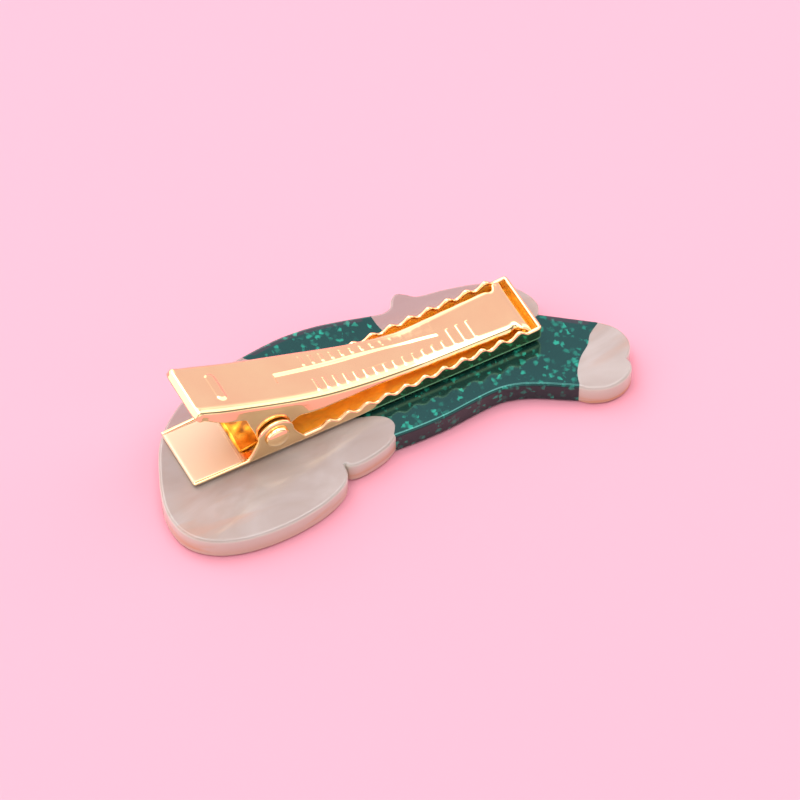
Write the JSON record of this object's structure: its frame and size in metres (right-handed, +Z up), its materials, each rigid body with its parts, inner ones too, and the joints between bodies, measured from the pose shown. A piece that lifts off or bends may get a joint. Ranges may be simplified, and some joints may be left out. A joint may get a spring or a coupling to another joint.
{
  "type": "alligator hair clip",
  "caption": "Alligator hair clip: a bowed, embossed sprung lever on a toothed sheet-metal jaw, glued to the back of a flat inlaid acetate plate.",
  "frame": {"origin": "on the plate's underside, straight below the middle of the hinge pin", "axes": "+X along the clip from the hinge towards its nose, +Y across the clip, +Z up, from the plate towards the lever"},
  "size_m": [0.0588, 0.0247, 0.0158],
  "materials": {
    "gold_plate": "polished gold plating",
    "grey_acetate": "pearly marbled acetate, polished",
    "green_acetate": "dark green acetate with glitter flakes, polished",
    "glue": "clear cured glue"
  },
  "bodies": {
    "base": {"lower_jaw": "gold_plate", "hinge_rivet": "gold_plate", "leaf_spring": "gold_plate", "glue_film": "glue", "grey_bulb_panel": "grey_acetate", "grey_tab_panel": "grey_acetate", "green_body_panel": "green_acetate", "grey_upper_panel": "grey_acetate", "grey_end_panel": "grey_acetate"},
    "lever_arm": {"lever": "gold_plate"}
  },
  "joints": [
    {"name": "lever_hinge", "type": "hinge", "parent": "base", "child": "lever_arm", "pos_m": [0, 0, 0.0067], "axis": [0, -1, 0], "range_deg": [0, 45], "stiffness_Nm_per_rad": 0.06, "springref_deg": -28.65, "deforming": ["leaf_spring"]}
  ]
}
